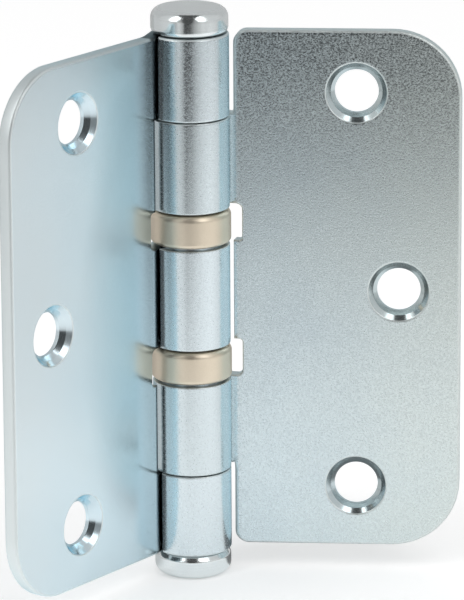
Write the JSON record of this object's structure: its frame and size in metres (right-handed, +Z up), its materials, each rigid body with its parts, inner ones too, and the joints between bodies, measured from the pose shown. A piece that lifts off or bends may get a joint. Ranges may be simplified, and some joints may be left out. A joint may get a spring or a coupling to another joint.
{
  "type": "ball bearing hinge",
  "caption": "Butt hinge with rounded corners: rolled sheet leaves with countersunk holes turn on a headed pin, with caged thrust ball bearings between the knuckles.",
  "frame": {"origin": "on the pin's axis, at half the height of the leaves", "axes": "+Z up along the pin towards its head; the three-knuckle leaf lies along -X with its countersunk face towards -Y and its back towards +Y"},
  "size_m": [0.0731, 0.0435, 0.0976],
  "materials": {
    "leaf_zinc": "bright blue-white zinc plating on rolled sheet",
    "pin_zinc": "bright blue-white zinc plating, turned",
    "shell_nickel": "satin nickel, drawn",
    "bearing_steel": "hardened and polished",
    "cage_brass": "stamped"
  },
  "bodies": {
    "fixed_side": {"three_knuckle_leaf": "leaf_zinc", "hinge_pin": "pin_zinc", "bottom_plug": "pin_zinc", "upper_bearing_bottom_race": "bearing_steel", "lower_bearing_shell": "shell_nickel", "lower_bearing_top_race": "bearing_steel"},
    "swing_side": {"two_knuckle_leaf": "leaf_zinc", "upper_bearing_shell": "shell_nickel", "upper_bearing_top_race": "bearing_steel", "lower_bearing_bottom_race": "bearing_steel"},
    "upper_balls": {"upper_ball_cage": "cage_brass", "upper_ball_01": "bearing_steel", "upper_ball_02": "bearing_steel", "upper_ball_03": "bearing_steel", "upper_ball_04": "bearing_steel", "upper_ball_05": "bearing_steel", "upper_ball_06": "bearing_steel"},
    "lower_balls": {"lower_ball_cage": "cage_brass", "lower_ball_01": "bearing_steel", "lower_ball_02": "bearing_steel", "lower_ball_03": "bearing_steel", "lower_ball_04": "bearing_steel", "lower_ball_05": "bearing_steel", "lower_ball_06": "bearing_steel"}
  },
  "joints": [
    {"name": "leaf_swing", "type": "hinge", "parent": "fixed_side", "child": "swing_side", "pos_m": [0, 0, 0], "axis": [0, 0, 1], "range_deg": [-123, 147]},
    {"name": "upper_ball_orbit", "type": "hinge", "parent": "fixed_side", "child": "upper_balls", "pos_m": [0, 0, 0.01188], "axis": [0, 0, 1], "range_deg": [-62, 74]},
    {"name": "lower_ball_orbit", "type": "hinge", "parent": "fixed_side", "child": "lower_balls", "pos_m": [0, 0, -0.01157], "axis": [0, 0, 1], "range_deg": [-62, 74]}
  ],
  "couplings": [
    {"joint": "upper_ball_orbit", "follows": "leaf_swing", "ratio": 0.5},
    {"joint": "lower_ball_orbit", "follows": "leaf_swing", "ratio": 0.5}
  ]
}
